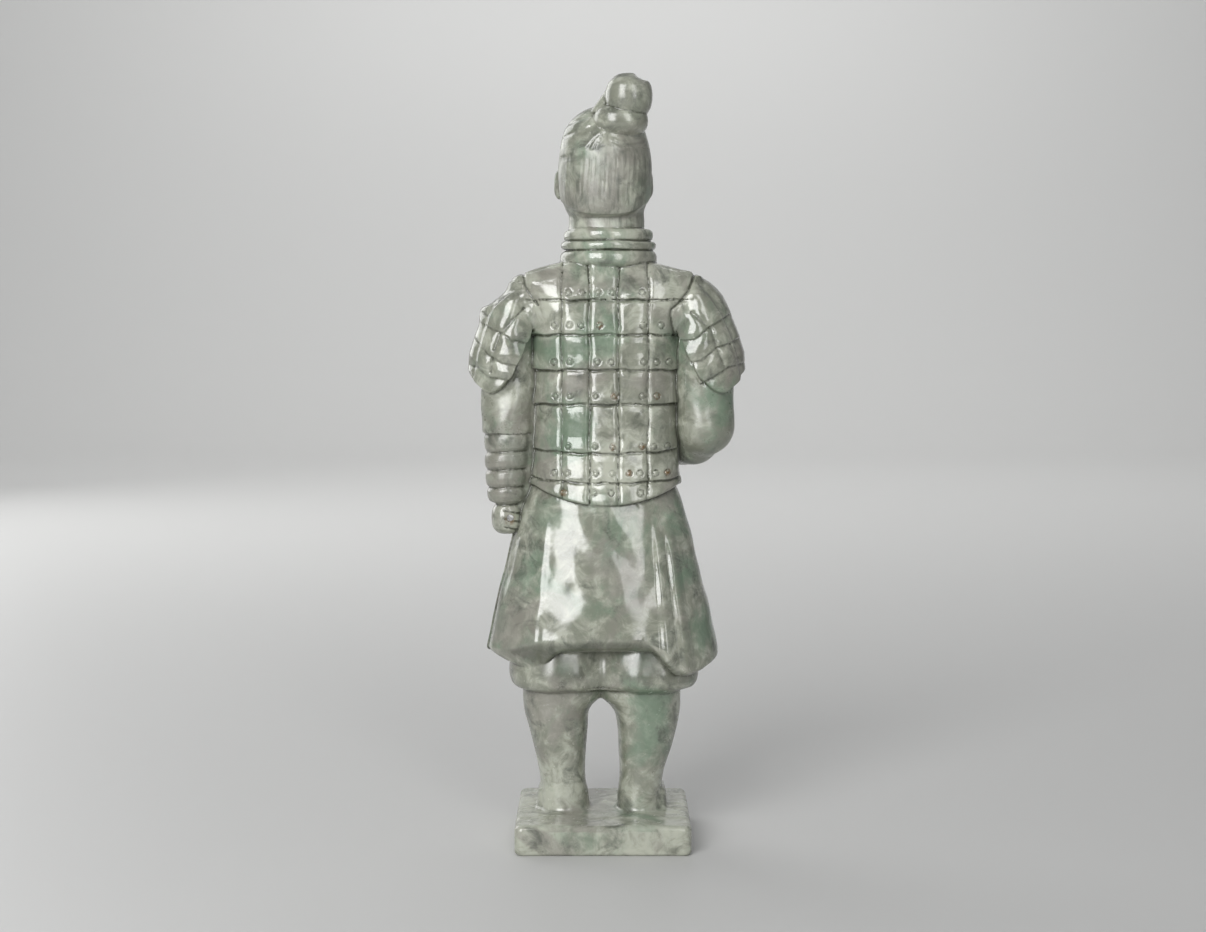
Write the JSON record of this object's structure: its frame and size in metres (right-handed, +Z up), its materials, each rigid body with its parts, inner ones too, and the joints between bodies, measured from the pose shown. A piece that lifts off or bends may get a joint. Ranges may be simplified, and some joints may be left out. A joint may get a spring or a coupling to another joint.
{
  "type": "carved soldier figurine",
  "caption": "Standing armoured soldier carved in one with its low rectangular base, plated armour, flared robe, coiled scarf and side hair knot, polished green-grey stone.",
  "frame": {"origin": "middle of the base's underside, which rests on the table", "axes": "+Z up the figure, -Y the way the figure faces, +X to the figure's own left"},
  "size_m": [0.0874, 0.051, 0.24],
  "materials": {
    "jadeite": "polished"
  },
  "bodies": {
    "root": {"jade_soldier": "jadeite"}
  },
  "joints": []
}
